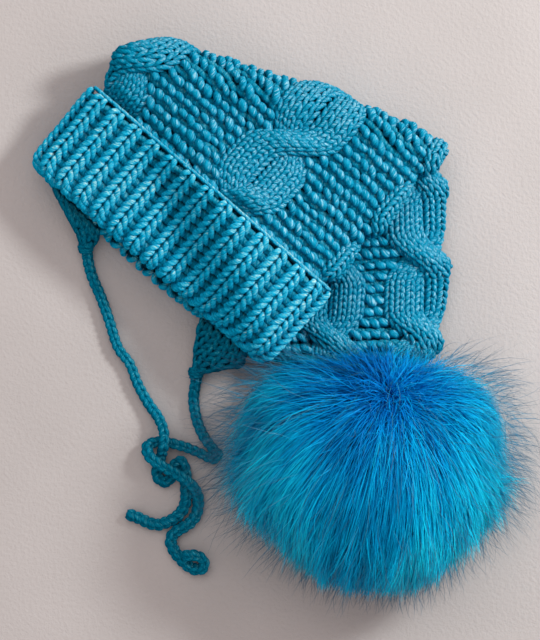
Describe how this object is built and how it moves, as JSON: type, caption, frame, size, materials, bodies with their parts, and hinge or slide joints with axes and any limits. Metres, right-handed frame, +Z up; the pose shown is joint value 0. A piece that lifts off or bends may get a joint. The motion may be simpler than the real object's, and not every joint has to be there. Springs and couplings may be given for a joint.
{
  "type": "baby hat with pompom",
  "caption": "Hand-knitted baby hat with a turned-up ribbed cuff, cabled crown, ear flaps, tie cords and a fur pompom, laid folded on a surface.",
  "frame": {"origin": "under the middle of the hat's bounding box, on the surface that it lies on", "axes": "+X to the right and +Y away from the viewer as the hat lies in the picture seen from above, +Z up from the surface"},
  "size_m": [0.2891, 0.3329, 0.0972],
  "materials": {
    "yarn": "matte",
    "fur": "satin"
  },
  "bodies": {
    "root": {"crown": "yarn", "ribbed_cuff": "yarn", "ear_flap_left": "yarn", "ear_flap_right": "yarn", "tie_cord_left": "yarn", "tie_cord_right": "yarn", "pompom": "fur"}
  },
  "joints": []
}
